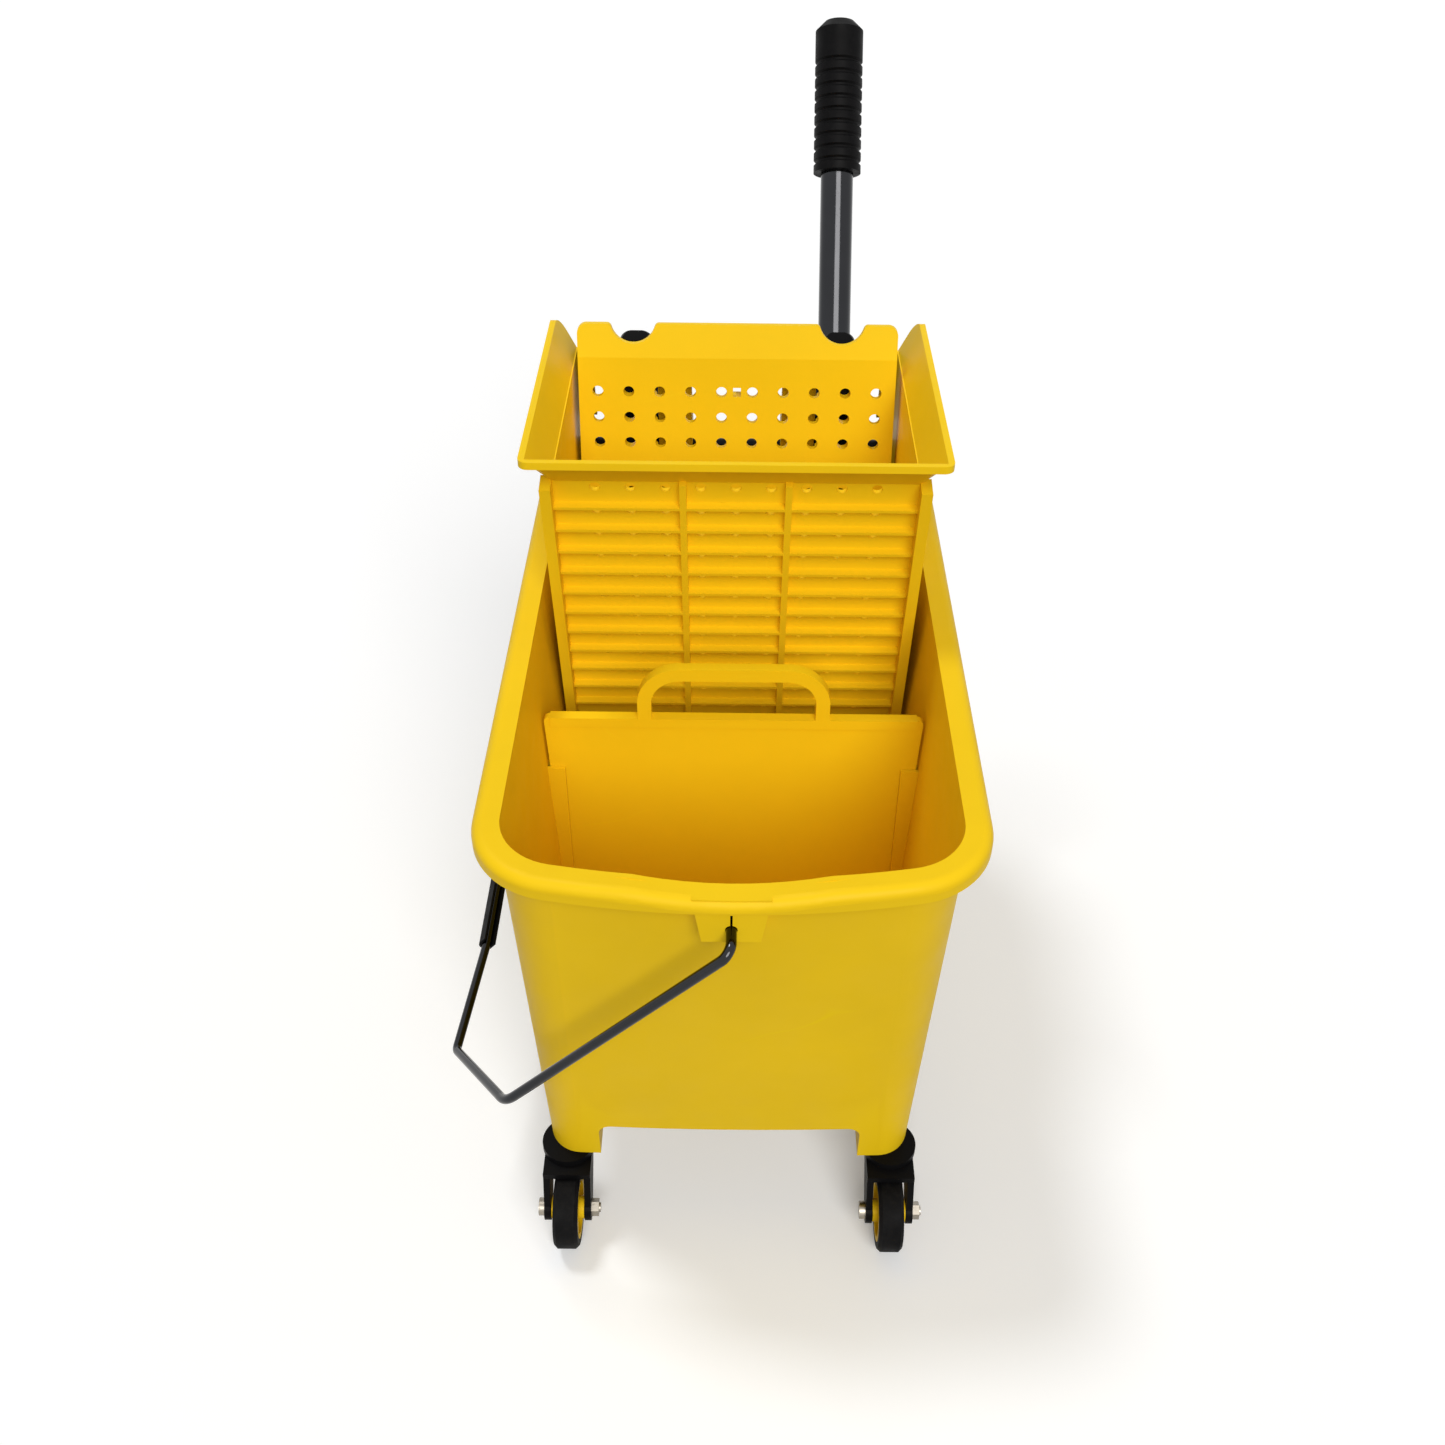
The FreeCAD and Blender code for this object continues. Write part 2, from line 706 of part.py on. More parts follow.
def caster(place, x, y):
    """One trailing caster: its swivel axis is upright, its axle lies along x."""
    at_x, at_y = f"{x} * caster_x", f"{y} * caster_y"
    axle_y = f"{at_y} - caster_trail"

    def across(low, high):
        return f"{at_x} + ({low})", f"{at_x} + ({high})"

    name = f"caster_{place}_"
    mount = fuse(name + "mount_shape", [
        rod(name + "cup", "z", "cup", (f"{CROWN_TOP} + swivel_gap", "foot_base"), at_x, at_y),
        rod(name + "stem", "z", "stem", ("foot_base", "foot_base + stem_length"), at_x, at_y),
        rod(name + "pin", "z", "king_pin",
            (f"{CROWN_FOOT} - swivel_gap", f"{CROWN_TOP} + swivel_gap"), at_x, at_y),
        rod(name + "pin_head", "z", "king_head",
            (f"{CROWN_FOOT} - swivel_gap - king_head_thick", f"{CROWN_FOOT} - swivel_gap"), at_x, at_y),
    ])
    node(name + "mount", mount)

    back = f"{axle_y} + crown_end"
    crown = fuse(name + "crown", [
        rod(name + "crown_disc", "z", "fork_half * 2", (CROWN_FOOT, CROWN_TOP), at_x, at_y),
        box(name + "crown_plate", across("-fork_half", "fork_half"), (back, at_y), (CROWN_FOOT, CROWN_TOP)),
    ])
    legs = []
    for side, span in (("left", across("-fork_half", "fork_leg - fork_half")),
                       ("right", across("fork_half - fork_leg", "fork_half"))):
        points = [
            (f"{at_y} + fork_front", f"{CROWN_TOP} - fork_crown / 2"),
            (f"{at_y} + fork_front", CROWN_FOOT),
            (f"{axle_y} + fork_toe_half", "wheel_radius - fork_toe_drop"),
            (f"{axle_y} - fork_toe_half", "wheel_radius - fork_toe_drop"),
            (back, CROWN_FOOT),
            (back, f"{CROWN_TOP} - fork_crown / 2"),
        ]
        legs.append(prism(name + side + "_leg", "yz", points, span))
        legs.append(rod(name + side + "_boss", "x", "fork_boss", span, axle_y, "wheel_radius"))
    fork = cut(name + "fork_shape", fuse(name + "fork_solid", [crown] + legs), [
        rod(name + "king_bore", "z", "king_pin + run_gap * 2", ("0", "foot_base"), at_x, at_y),
        rod(name + "axle_bore", "x", "axle + run_gap * 2", across("-cup", "cup"), axle_y, "wheel_radius"),
    ])
    node(name + "fork", fork)

    axle = fuse(name + "axle_shape", [
        rod(name + "bolt", "x", "axle", across("-fork_half", "fork_half + axle_nut + axle_tail"),
            axle_y, "wheel_radius"),
        rod(name + "bolt_head", "x", "axle_hex", across("-fork_half - axle_head", "-fork_half"),
            axle_y, "wheel_radius"),
    ])
    node(name + "axle", axle)
    nut = cut(name + "nut_shape",
              hexagon(name + "nut_hex", "x", "axle_hex", across("fork_half", "fork_half + axle_nut"),
                      axle_y, "wheel_radius"),
              [rod(name + "nut_bore", "x", "axle + run_gap * 2", across("0", "cup"),
                   axle_y, "wheel_radius")])
    node(name + "nut", nut)

    bore = "axle / 2 + run_gap"
    seat = "wheel_radius - tyre_depth"
    half_hub = [("hub_half", bore), ("hub_half", "hub_boss / 2"), ("hub_web / 2", "hub_boss / 2"),
                ("hub_web / 2", f"{seat} - hub_rim"), ("tread / 2", f"{seat} - hub_rim"), ("tread / 2", seat)]
    half_tyre = [("tread / 2", seat), ("tread / 2", "wheel_radius - tyre_edge"),
                 ("tread / 2 - tyre_edge", "wheel_radius")]
    for label, half in (("hub", half_hub), ("tyre", half_tyre)):
        mirror = [(f"-({a})", r) for a, r in reversed(half)]
        wheel = turned(name + label + "_shape", "x", half + mirror)
        node(name + label, move(wheel, at_x, axle_y, "wheel_radius"))


for caster_place, caster_side, caster_end in (("fl", -1, -1), ("fr", 1, -1), ("rl", -1, 1), ("rr", 1, 1)):
    caster(caster_place, caster_side, caster_end)


# --- Divider --------------------------------------------------------------------

def divider():
    foot = f"{FLOOR} + seat_gap"
    top = f"{FLOOR} + divider_height"
    thick = ("divider_y - divider_skin / 2", "divider_y + divider_skin / 2")
    deep = ("divider_y - arch_depth / 2", "divider_y + arch_depth / 2")

    def edge(height):
        return f"({wall_half(height)} - wall - divider_gap)"

    points = [(f"-{edge(foot)}", foot), (edge(foot), foot), (edge(top), top), (f"-{edge(top)}", top)]
    panel = prism("divider_panel_flat", "xz", points, thick)
    top_z = size(top)
    panel = rounded("divider_panel_rounded", panel, size("divider_round"),
                    lambda line: runs_along(line, "y") and abs(middle(line).z - top_z) < 0.01)
    outer = box("arch_outer", ("-arch_half", "arch_half"), deep,
                (f"{top} - arch_depth", f"{top} + arch_height"))
    arch_top = size(f"{top} + arch_height")
    outer = rounded("arch_outer_round", outer, size("arch_bend"),
                    lambda line: runs_along(line, "y") and abs(middle(line).z - arch_top) < 0.01)
    inner = box("arch_inner", ("-(arch_half - arch_band)", "arch_half - arch_band"),
                (f"{deep[0]} - past", f"{deep[1]} + past"), (top, f"{top} + arch_height - arch_band"))
    inner_top = size(f"{top} + arch_height - arch_band")
    inner = rounded("arch_inner_round", inner, size("arch_bend - arch_band"),
                    lambda line: runs_along(line, "y") and abs(middle(line).z - inner_top) < 0.01)
    bead = box("divider_bead", (f"-({edge(top)} - divider_round)", f"{edge(top)} - divider_round"), deep,
               (f"{top} - arch_depth", top))
    return cut("divider_shape", fuse("divider_solid", [panel, outer, bead]), [inner])


node("divider_panel", divider())


# --- Bail -----------------------------------------------------------------------
# Drawn flat, with its leg towards -X, then turned down about the ears' axis.

def rounded_path(points, radii):
    """A wire of straight runs joined by tangent arcs at the inner points."""
    edges = []
    last = points[0]
    for i in range(1, len(points) - 1):
        corner, radius = points[i], radii[i - 1]
        back = (points[i - 1] - corner).normalize()
        ahead = (points[i + 1] - corner).normalize()
        half = back.getAngle(ahead) / 2
        reach = radius / math.tan(half)
        start, end = corner + back * reach, corner + ahead * reach
        toward = (back + ahead).normalize()
        mid = corner + toward * (radius / math.sin(half) - radius)
        edges.append(Part.LineSegment(last, start).toShape())
        edges.append(Part.Arc(start, mid, end).toShape())
        last = end
    edges.append(Part.LineSegment(last, points[-1]).toShape())
    return Part.Wire(edges)


def bail_wire():
    face = size(EAR_FACE)
    leg = face + size("bail_stand_off")
    end = face - size("ear_plate") - size("bail_end_in")
    half = [
        Vector(0, -end, 0),
        Vector(0, -leg, 0),
        Vector(-size("bail_leg"), -leg + size("bail_leg_in"), 0),
        Vector(-size("bail_shoulder"), -leg + size("bail_shoulder_in"), 0),
        Vector(-size("bail_bar"), -size("grip_half"), 0),
    ]
    points = half + [Vector(p.x, -p.y, 0) for p in reversed(half)]
    tight, wide = size("bail_bend"), size("bail_wide_bend")
    radii = [tight, wide, tight, wide]
    path = rounded_path(points, radii + radii[::-1])
    thick = size("wire") / 2
    section = Part.Wire(Part.Circle(points[0], Vector(0, 1, 0), thick).toShape())
    wire = path.makePipeShell([section], True, False)
    return made("bail_bent_wire", wire)


def bail_turn(piece):
    return move(piece, 0, 0, BAIL_Z, "-bail_hang", Vector(0, 1, 0))


def bail():
    end = f"{EAR_FACE} - ear_plate - bail_end_in"
    heads = [rod(f"bail_head_{i}", "y", "bail_head", both_ways(sign, end, f"{end} + bail_head_thick"), 0, 0)
             for i, sign in enumerate((-1, 1))]
    node("bail_wire", bail_turn(fuse("bail_wire_shape", [bail_wire()] + heads)))

    slot = "grip_slot / 2"
    grip = box("grip_block", ("-bail_bar - grip_outside", "grip_inside - bail_bar"),
               ("-grip_half", "grip_half"), ("-grip_thick / 2", "grip_thick / 2"))
    outer_x = -size("bail_bar + grip_outside")
    grip = rounded("grip_rounded", grip, size("grip_round"),
                   lambda edge: runs_along(edge, "y") and abs(middle(edge).x - outer_x) < 0.01)
    groove = fuse("grip_groove", [
        rod("grip_groove_end", "y", "grip_slot", ("-grip_half - past", "grip_half + past"), "-bail_bar", 0),
        box("grip_groove_mouth", ("-bail_bar", "0"), ("-grip_half - past", "grip_half + past"),
            (f"-{slot}", slot)),
    ])
    node("bail_grip", bail_turn(cut("bail_grip_shape", grip, [groove])))


bail()


# --- Wringer basket -------------------------------------------------------------

SHAFT_Z = "rim_height + shaft_rise"
FOLD_Y = "shaft_y - press_depth"
FOLD_Z = "rim_height + fold_rise"
FOOT_Y = f"{FOLD_Y} + front_length * sin(front_lean)"
FOOT_Z = f"{FOLD_Z} - front_length * cos(front_lean)"
HINGE_Y = "shaft_y - hinge_ahead"
HINGE_Z = f"{SHAFT_Z} - hinge_below"
BASKET_OUT = "basket_half + basket_wall"
ACROSS = Vector(1, 0, 0)
RIBS = 11


def front_wall():
    """The ribbed wall with its holes, upright, its front face at y = 0 and its top at z = 0."""
    height = ("-front_length", "0")
    pieces = [box("front_slab", (f"-({BASKET_OUT})", BASKET_OUT), ("0", "front_skin"), height)]
    for i in range(RIBS):
        level = f"-(rib_first + {i} * rib_pitch)"
        pieces.append(box(f"front_rib_{i}", ("-basket_half", "basket_half"), ("-rib_proud", "front_skin / 2"),
                          (f"{level} - rib_skin / 2", f"{level} + rib_skin / 2")))
    for i, side in enumerate((-1, 1)):
        across = both_ways(side, "hole_pitch * 1.5 - bay_post / 2", "hole_pitch * 1.5 + bay_post / 2")
        pieces.append(box(f"front_post_{i}", across, ("-rib_proud", "front_skin / 2"), height))
        pieces.append(box(f"front_strip_{i}", both_ways(side, "basket_half", "basket_half + strip_width"),
                          ("-strip_proud", "front_skin"), height))
    centres = [(f"{column} * hole_pitch", f"-(rib_first + {row} * rib_pitch + hole_below_rib)")
               for row in range(-1, RIBS) for column in range(-4, 5)]
    holes = discs("front_holes", "xz", centres, "hole", ("-strip_proud", "front_skin + past"))
    wall = cut("front_wall", fuse("front_solid", pieces), [holes])
    return move(wall, 0, FOLD_Y, FOLD_Z, "front_lean", ACROSS)


def side_outline():
    """The side walls' outline: front edge, turned-under foot, rising tail."""
    return [
        (FOLD_Y, FOLD_Z),
        (FOOT_Y, FOOT_Z),
        (f"{FOOT_Y} + toe_run", f"{FOOT_Z} - toe_drop"),
        (f"{HINGE_Y} + heel_run", f"{HINGE_Z} - heel_drop"),
        ("shaft_y - tail_fore", "rim_height - beam_drop"),
        ("shaft_y", "rim_height + seat_gap"),
        ("shaft_y + tail_back", "rim_height + shoulder_skin + seat_gap"),
        ("shaft_y + tail_back", f"{SHAFT_Z} + tail_rise"),
        ("shaft_y + wing_back", FOLD_Z),
    ]


def lip():
    """The flared lip: three sides of a frustum with a bead along its edge."""
    back = "shaft_y + wing_back"

    def frame(name, x, y, z, far=back):
        return outline(name, "xy", [(f"-({x})", y), (x, y), (x, far), (f"-({x})", far)], z)

    def corner(edge):
        if len(edge.Vertexes) != 2:
            return False
        step = edge.Vertexes[1].Point - edge.Vertexes[0].Point
        return abs(step.z) > size("past") and middle(edge).y < size(f"{FOLD_Y} + past")

    edge_x = f"{BASKET_OUT} + lip_side"
    edge_y = f"{FOLD_Y} - lip_front"
    edge_z = f"{FOLD_Z} + lip_rise"
    low = f"{FOLD_Z} - lip_skin / 2"
    flare = loft("lip_outside", [frame("lip_low", BASKET_OUT, FOLD_Y, low),
                                 frame("lip_high", edge_x, edge_y, edge_z)])
    flare = rounded("lip_outside_round", flare, size("lip_corner"), corner)
    bead = prism("lip_bead_block", "xy", [
        (f"-({edge_x} + lip_bead_proud)", f"{edge_y} - lip_bead_proud"),
        (f"{edge_x} + lip_bead_proud", f"{edge_y} - lip_bead_proud"),
        (f"{edge_x} + lip_bead_proud", back),
        (f"-({edge_x} + lip_bead_proud)", back)], (f"{edge_z} - lip_bead", edge_z))
    bead = rounded("lip_bead_round", bead, size("lip_corner"), corner)
    well_x = f"{BASKET_OUT} - basket_wall"
    hollow = loft("lip_inside", [
        frame("lip_inner_low", well_x, f"{FOLD_Y} + front_skin", low, f"{back} + wall"),
        frame("lip_inner_high", f"{edge_x} - lip_skin", f"{edge_y} + lip_skin", f"{edge_z} + run_gap",
              f"{back} + wall")])
    shape = cut("lip_shape", fuse("lip_solid", [flare, bead]), [hollow])
    limit = box("wing_limit_block", ("-rim_width", "rim_width"), ("-rim_length", back), (low, edge_z))
    top, end = size(edge_z), size(back)
    limit = rounded("wing_limit", limit, size("wing_round"),
                    lambda edge: runs_along(edge, "x") and abs(middle(edge).z - top) < 0.01
                    and abs(middle(edge).y - end) < 0.01)
    return common("lip_rounded", [shape, limit])


def posts():
    """Two hollow posts on the rear beam, each a front panel and two cheeks."""
    front = "shaft_y - post_front"
    base = "rim_height - beam_drop"
    top = f"{SHAFT_Z} + post_rise"
    cheek = [
        (front, base),
        (front, top),
        (f"{front} + post_top_depth", top),
        ("shaft_y + post_back", f"{SHAFT_Z} + post_flat_half"),
        ("shaft_y + post_back", f"{SHAFT_Z} - post_flat_half"),
        (f"{front} + beam_depth", base),
    ]
    pieces = []
    for i, side in enumerate((-1, 1)):
        pieces.append(box(f"post_face_{i}", both_ways(side, "post_in", "post_out"),
                          (front, f"{front} + post_skin"), (base, top)))
        for label, low, high in (("inner", "post_in", "post_in + post_skin"),
                                 ("outer", "post_out - post_skin", "post_out")):
            pieces.append(prism(f"post_{label}_{i}", "yz", cheek, both_ways(side, low, high)))
    return pieces


def shoulders():
    """Flanges that rest on the rim, cut to its outline, and the fins that locate them."""
    rest = ("rim_height + seat_gap", "rim_height + seat_gap + shoulder_skin")
    reach = ("shaft_y + tail_back - shoulder_length", "shaft_y + tail_back")
    inner = f"{BASKET_OUT} - basket_wall / 2"
    plates = [box(f"shoulder_{i}", both_ways(side, inner, "shoulder_out"), reach, rest)
              for i, side in enumerate((-1, 1))]
    limit = rim_block("shoulder_limit", "rim_skin", "rim_height", f"{rest[1]} + past")
    plates = common("shoulder_plates", [fuse("shoulder_blocks", plates), limit])
    fins = []
    for i, side in enumerate((-1, 1)):
        for j, back in enumerate(("fin_far", "fin_near")):
            fins.append(box(f"shoulder_fin_{i}_{j}", both_ways(side, inner, f"{BASKET_OUT} + strip_width"),
                            (f"shaft_y - {back}", f"shaft_y - {back} + wall"),
                            ("rim_height - beam_drop", rest[1])))
    return [plates] + fins


def basket():
    inside = ("-basket_half", "basket_half")
    outside = (f"-({BASKET_OUT})", BASKET_OUT)
    sides = [prism(f"basket_side_{i}", "yz", side_outline(), both_ways(side, "basket_half", BASKET_OUT))
             for i, side in enumerate((-1, 1))]
    floor = prism("basket_floor", "yz", [
        (FOOT_Y, FOOT_Z),
        (f"{FOOT_Y} + toe_run", f"{FOOT_Z} - toe_drop"),
        (f"{HINGE_Y} + heel_run", f"{HINGE_Z} - heel_drop"),
        (f"{HINGE_Y} + heel_run", f"{HINGE_Z} - heel_drop + floor_skin"),
        (f"{FOOT_Y} + toe_run", f"{FOOT_Z} - toe_drop + floor_skin"),
        (f"{FOOT_Y} + front_skin * cos(front_lean)", f"{FOOT_Z} + front_skin * sin(front_lean)"),
    ], outside)
    slots = [box(f"drain_{i}", (f"{i} * hole_pitch * 2 - drain_half", f"{i} * hole_pitch * 2 + drain_half"),
                 (f"{FOOT_Y} + drain_start", f"{HINGE_Y} - hinge_roll"), ("foot_base", HINGE_Z))
             for i in range(-2, 3)]
    front = "shaft_y - post_front"
    beam = box("rear_beam", outside, (front, f"{front} + beam_depth"),
               ("rim_height - beam_drop", "rim_height - beam_drop + beam_height"))
    pads = [rod(f"bush_pad_{i}", "x", "bush_collar + bush_collar_thick",
                both_ways(side, "basket_half", "basket_half + bush_pad"), "shaft_y", SHAFT_Z)
            for i, side in enumerate((-1, 1))]
    flange = [
        ("shaft_y + tail_back - flange_skin", f"{SHAFT_Z} + tail_rise"),
        ("shaft_y + tail_back", f"{SHAFT_Z} + tail_rise"),
        ("shaft_y + wing_back", FOLD_Z),
        ("shaft_y + wing_back - flange_skin", FOLD_Z),
    ]
    flanges = [prism(f"rear_flange_{i}", "yz", flange, both_ways(side, "basket_half - flange_in", BASKET_OUT))
               for i, side in enumerate((-1, 1))]
    solid = fuse("basket_solid", [front_wall(), floor, beam, lip()] + sides + flanges + pads
                 + posts() + shoulders())
    far = ("-rim_width", "rim_width")
    bores = [rod(f"bush_bore_{i}", "x", "bush + run_gap * 2",
                 both_ways(side, "basket_half - past", "basket_half + bush_pad + past"), "shaft_y", SHAFT_Z)
             for i, side in enumerate((-1, 1))]
    bores.append(rod("post_bore", "x", "shaft + seat_gap * 4", ("-post_out - past", "post_out + past"),
                     "shaft_y", SHAFT_Z))
    bores.append(rod("hinge_bore", "x", "hinge_rod + run_gap * 2", far, HINGE_Y, HINGE_Z))
    return cut("basket_shape", solid, slots + bores)


node("wringer_basket", basket())


def hinge_rod():
    """The press plate's rod, headed outside both walls."""
    wall = f"{BASKET_OUT} + run_gap"
    end = f"{wall} + hinge_head_thick"
    half = [(end, "0"), (end, "hinge_head / 2"), (wall, "hinge_head / 2"), (wall, "hinge_rod / 2")]
    mirror = [(f"-({a})", r) for a, r in reversed(half)]
    return move(turned("hinge_rod_shape", "x", half + mirror), 0, HINGE_Y, HINGE_Z)


node("plate_hinge_rod", hinge_rod())


# --- Press plate ----------------------------------------------------------------
# Drawn upright with its hinge at the origin, then leaned back.

COLUMNS = 5
ROWS = 9


def press_plate():
    front, back = "-plate_skin / 2", "plate_skin / 2"
    foot_half = "basket_half - plate_gap"
    panel = prism("plate_flat", "xz", [
        (f"-({foot_half})", "0"), (foot_half, "0"),
        ("plate_top_half", "plate_fold"), ("-plate_top_half", "plate_fold")], (front, back))
    crest = prism("plate_crest", "yz", [
        (front, "plate_fold"), (f"{front} + plate_top_back", "plate_top"),
        (f"{back} + plate_top_back", "plate_top"), (back, "plate_fold")],
        ("-plate_top_half", "plate_top_half"))
    notches = discs("notches", "xz", [(f"{side} * socket_x", "plate_top - notch_depth + notch_radius")
                                      for side in (-1, 1)],
                    "notch_radius * 2", ("-rim_width", "rim_width"))
    crest = cut("plate_crest_notched", crest, [notches])
    top = size("plate_top")
    ends = size("plate_top_half - past")

    def on_top(edge):
        return runs_along(edge, "y") and abs(middle(edge).z - top) < 0.01

    crest = rounded("plate_crest_round", crest, size("plate_round"),
                    lambda edge: on_top(edge) and abs(middle(edge).x) > ends)
    crest = rounded("plate_notch_round", crest, size("notch_round"),
                    lambda edge: on_top(edge) and abs(middle(edge).x) < ends - size("plate_round"))
    roll = rod("plate_roll", "x", "hinge_roll", (f"-({foot_half})", foot_half), 0, 0)
    pieces = [panel, crest, roll]
    for i, side in enumerate((-1, 1)):
        track = both_ways(side, "arm_x - arm_width / 2 - track_skin", "arm_x + arm_width / 2 + track_skin")
        pieces.append(box(f"cam_track_{i}", track, ("0", f"{back} + track_skin"), ("track_low", "plate_fold")))
        for j, place in enumerate(("0", "plate_top_half - back_rib_skin")):
            across = both_ways(side, place, f"{place} + back_rib_skin")
            pieces.append(box(f"back_rib_{i}_{j}", across, ("0", f"{back} + back_rib"), ("0", "plate_fold")))
    centres = [(f"{side} * plate_hole_across * {column + 0.5}", f"plate_hole_top - {row} * plate_hole_up")
               for row in range(ROWS) for column in range(COLUMNS) for side in (-1, 1)]
    holes = discs("plate_holes", "xz", centres, "plate_hole", ("-plate_skin", f"{back} + back_rib + past"))
    slot = box("key_slot", ("-key_width / 2", "key_width / 2"), ("-plate_skin", f"{back} + back_rib + past"),
               ("plate_hole_top - key_height / 2", "plate_hole_top + key_height / 2"))
    bore = rod("plate_bore", "x", "hinge_rod + run_gap * 2", ("-rim_width", "rim_width"), 0, 0)
    plate = cut("plate_shape", fuse("plate_solid", pieces), [holes, slot, bore])
    return move(plate, 0, HINGE_Y, HINGE_Z, "-plate_lean", ACROSS)


node("press_plate", press_plate())


# --- Shaft, arms and lever ------------------------------------------------------

def lever_turn(piece):
    """Place a piece that is drawn upright with the shaft at the origin."""
    return move(piece, 0, "shaft_y", SHAFT_Z, "-lever_lean", ACROSS)


def bushes():
    far = "basket_half + bush_pad"
    pieces = []
    for i, side in enumerate((-1, 1)):
        sleeve = rod(f"bush_sleeve_{i}", "x", "bush", both_ways(side, "basket_half - run_gap", far),
                     "shaft_y", SHAFT_Z)
        collar = rod(f"bush_collar_{i}", "x", "bush_collar",
                     both_ways(side, "basket_half - run_gap - bush_collar_thick", "basket_half - run_gap"),
                     "shaft_y", SHAFT_Z)
        pieces.append(fuse(f"bush_solid_{i}", [sleeve, collar]))
    bore = rod("bush_shaft_bore", "x", "shaft + run_gap * 2", ("-rim_width", "rim_width"), "shaft_y", SHAFT_Z)
    return cut("bushes_shape", compound("bushes_solid", pieces), [bore])


node("shaft_bushes", bushes())

CLIP_IN = "basket_half + bush_pad + seat_gap"


def press_shaft():
    bare = rod("shaft_rod", "x", "shaft", ("-shaft_half", "shaft_half"), "shaft_y", SHAFT_Z)
    cuts = []
    for i, side in enumerate((-1, 1)):
        groove = both_ways(side, f"{CLIP_IN} - run_gap", f"{CLIP_IN} + clip_skin + run_gap")
        outer = rod(f"groove_outer_{i}", "x", "shaft * 2", groove, "shaft_y", SHAFT_Z)
        core = rod(f"groove_core_{i}", "x", "groove_core", groove, "shaft_y", SHAFT_Z)
        cuts.append(cut(f"groove_{i}", outer, [core]))
        cuts.append(rod(f"shaft_pin_bore_{i}", "y", "arm_pin + run_gap * 2",
                        ("0", "shaft_y * 2"), f"{side} * arm_x", SHAFT_Z))
    return cut("shaft_shape", bare, cuts)


node("press_shaft", press_shaft())


def clips():
    rings = []
    for i, side in enumerate((-1, 1)):
        span = both_ways(side, CLIP_IN, f"{CLIP_IN} + clip_skin")
        rings.append(rod(f"clip_disc_{i}", "x", "clip", span, "shaft_y", SHAFT_Z))
    inner = rod("clip_bore", "x", "groove_core + run_gap * 2", ("-rim_width", "rim_width"),
                "shaft_y", SHAFT_Z)
    mouth = box("clip_mouth", ("-rim_width", "rim_width"),
                ("shaft_y - clip_mouth / 2", "shaft_y + clip_mouth / 2"), (f"{SHAFT_Z} - clip", SHAFT_Z))
    return cut("clips_shape", compound("clip_discs", rings), [inner, mouth])


node("shaft_clips", clips())

CAM_STEPS = 8


def cam_points(gap):
    """The arm's working edge: the envelope of the track's back face as the arm turns.

    The plate turns at press_ratio of the lever's angle, so the distance from the
    shaft to the track, taken square to it, gives the edge's support function.
    Points are (y, z) from the shaft, in the arm's place at rest.
    """
    ratio = size("press_ratio")
    lean = size("plate_lean")
    back = size("plate_skin / 2 + track_skin") + gap
    ahead, below = size("hinge_ahead"), size("hinge_below")
    points = []
    for step in range(CAM_STEPS + 1):
        turn = size("lever_travel") * step / CAM_STEPS
        angle = math.radians(lean - ratio * turn)
        reach = ahead * math.cos(angle) - below * math.sin(angle) - back
        slope = -(ahead * math.sin(angle) + below * math.cos(angle)) / (1 / ratio - 1)
        face = math.radians(90 - turn) - angle
        points.append((-reach * math.sin(face) - slope * math.cos(face),
                       reach * math.cos(face) - slope * math.sin(face)))
    return points


def cam_solid(name, depth, span):
    """The arm's edge extruded across the arm, from the edge inwards by a depth.

    A depth of None fills the arm down to its boss.
    """
    edge = [Vector(0, y, z) for y, z in cam_points(size("cam_gap"))]
    curve = Part.BSplineCurve()
    curve.interpolate(edge)
    if depth is None:
        inner = [Vector(0, 0, 0)]
    else:
        inner = [p - Vector(p).normalize() * depth for p in edge[::-1]]
    corners = [edge[-1]] + inner + [edge[0]]
    sides = [Part.LineSegment(a, b).toShape() for a, b in zip(corners, corners[1:])]
    face = Part.Face(Part.Wire([curve.toShape()] + sides))
    low, high = (size(text) for text in span)
    solid = face.extrude(Vector(high - low, 0, 0))
    piece = made(name, solid)
    return move(piece, low, "shaft_y", SHAFT_Z)


